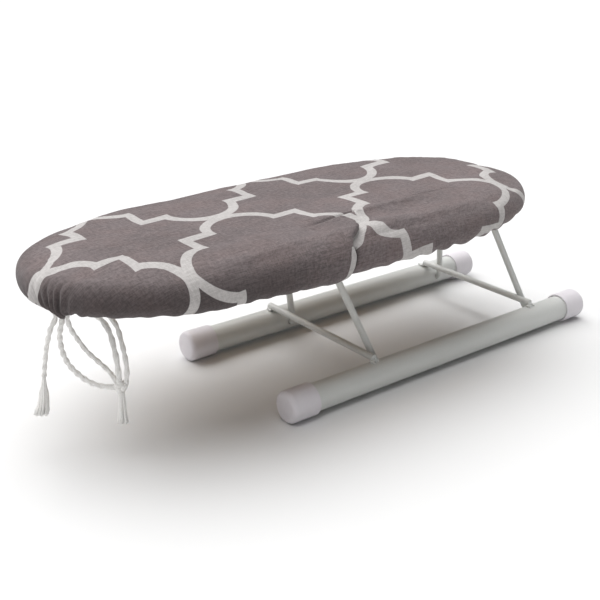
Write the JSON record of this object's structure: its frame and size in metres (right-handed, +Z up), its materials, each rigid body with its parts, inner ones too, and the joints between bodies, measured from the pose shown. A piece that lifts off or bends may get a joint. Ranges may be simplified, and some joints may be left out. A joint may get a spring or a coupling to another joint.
{
  "type": "tabletop sleeve ironing board",
  "caption": "Small padded ironing board on a fold-flat tube and wire stand, with a drawstring cotton cover, for ironing sleeves on a table.",
  "frame": {"origin": "on the standing plane, under the middle of the board and stand together, cords left out", "axes": "+X runs from the board's round nose to its tail, +Y to the far side of the board, +Z up"},
  "size_m": [0.4345, 0.161, 0.1215],
  "materials": {
    "frame_paint": "light grey powder coat, satin",
    "cap_plastic": "soft lilac-grey moulded plastic",
    "panel_board": "bare fibreboard",
    "pad_foam": "off-white foam",
    "cover_cotton": "taupe cotton weave with a white trellis print",
    "zinc_steel": "zinc plate",
    "cotton_string": "off-white twisted cotton string"
  },
  "bodies": {
    "stand": {"tube_near": "frame_paint", "tube_far": "frame_paint", "cap_front_near": "cap_plastic", "cap_front_far": "cap_plastic", "cap_rear_near": "cap_plastic", "cap_rear_far": "cap_plastic", "cross_bar_front": "frame_paint", "cross_bar_rear": "frame_paint"},
    "front_leg": {"leg_front": "frame_paint"},
    "rear_leg": {"leg_rear": "frame_paint"},
    "board": {"board_panel": "panel_board", "foam_pad": "pad_foam", "cover": "cover_cotton", "drawstring_hem": "cotton_string", "clip_front_near": "zinc_steel", "clip_front_far": "zinc_steel", "clip_rear_near": "zinc_steel", "clip_rear_far": "zinc_steel", "screw_front_near_a": "zinc_steel", "screw_front_near_b": "zinc_steel", "screw_front_far_a": "zinc_steel", "screw_front_far_b": "zinc_steel", "screw_rear_near_a": "zinc_steel", "screw_rear_near_b": "zinc_steel", "screw_rear_far_a": "zinc_steel", "screw_rear_far_b": "zinc_steel", "cord_end": "cotton_string", "cord_a": "cotton_string", "cord_b": "cotton_string", "cord_c": "cotton_string", "cord_d": "cotton_string", "knot": "cotton_string", "tassel_end": "cotton_string", "tassel_knot": "cotton_string"}
  },
  "joints": [
    {"name": "fold", "type": "hinge", "parent": "stand", "child": "front_leg", "pos_m": [0.0132, 0, 0.0111], "axis": [0, 1, 0], "range_deg": [0, 97.5]},
    {"name": "rear_leg_pivot", "type": "hinge", "parent": "stand", "child": "rear_leg", "pos_m": [0.1704, 0, 0.0111], "axis": [0, 1, 0], "range_deg": [0, 97.5]},
    {"name": "board_pivot", "type": "hinge", "parent": "front_leg", "child": "board", "pos_m": [-0.01658, 0, 0.0976], "axis": [0, 1, 0], "range_deg": [-97.5, 0]}
  ],
  "couplings": [
    {"joint": "rear_leg_pivot", "follows": "fold", "ratio": 1},
    {"joint": "board_pivot", "follows": "fold", "ratio": -1}
  ]
}
